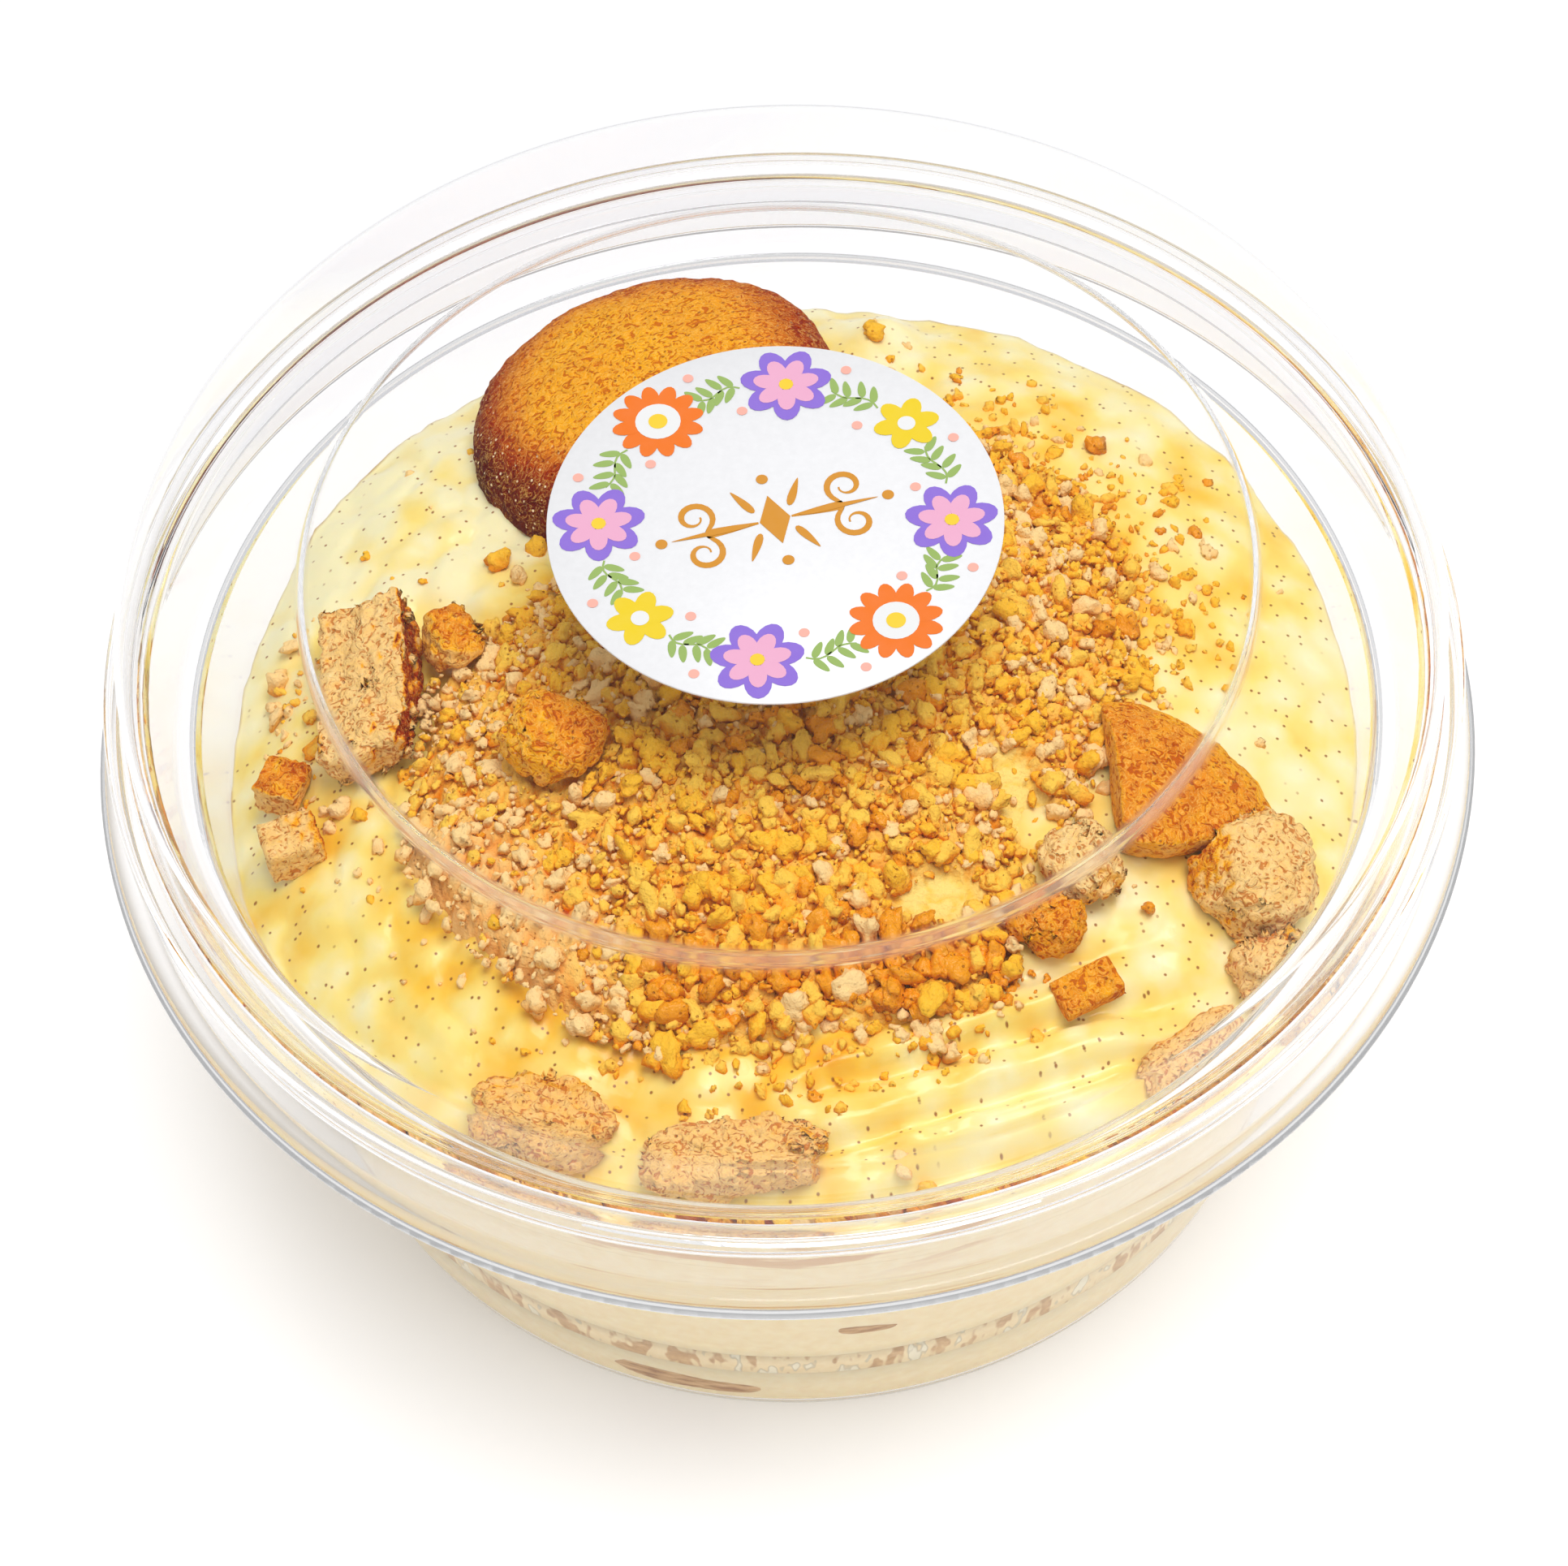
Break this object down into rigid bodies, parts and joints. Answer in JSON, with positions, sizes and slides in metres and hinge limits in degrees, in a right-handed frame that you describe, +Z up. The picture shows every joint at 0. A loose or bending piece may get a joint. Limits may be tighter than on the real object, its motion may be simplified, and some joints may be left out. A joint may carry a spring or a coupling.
{
  "type": "banana pudding cup",
  "caption": "Round clear dessert cup with a push-on domed lid and a round flowered sticker, holding banana pudding under wafer crumbs, broken wafers and a whole wafer.",
  "frame": {"origin": "centre of the cup's flat base, on the surface it stands on", "axes": "+Z up out of the cup, -Y the side nearest the viewer of the picture, +X to the viewer's right"},
  "size_m": [0.117, 0.117, 0.0659],
  "materials": {
    "clear_cup": "thin clear plastic",
    "clear_lid": "thin clear plastic",
    "label_paper": "coated white paper with a printed wreath of flowers",
    "pudding": "soft, pale yellow, moist",
    "wafer_crust": "baked golden brown",
    "wafer_crumb": "porous, golden tan"
  },
  "bodies": {
    "root": {"cup": "clear_cup", "lid": "clear_lid", "label": "label_paper", "pudding_bottom": "pudding", "pudding_top": "pudding", "wafer_layer": "wafer_crumb", "crumb_heap": "wafer_crumb", "wafer_centre": "wafer_crumb", "wafer_left_small": "wafer_crumb", "wafer_right_lump": "wafer_crumb", "wafer_right_low": "wafer_crumb", "wafer_pale": "wafer_crumb", "wafer_clump": "wafer_crumb", "wafer_wall_right": "wafer_crumb", "wafer_front_left": "wafer_crumb", "wafer_front": "wafer_crumb", "wafer_left_block": "wafer_crumb", "wafer_left_block_low": "wafer_crumb", "wafer_whole": "wafer_crust", "wafer_left": "wafer_crust", "wafer_right": "wafer_crust", "wafer_tablet": "wafer_crust", "wafer_side_low": "wafer_crust", "wafer_side_high": "wafer_crust"}
  },
  "joints": []
}
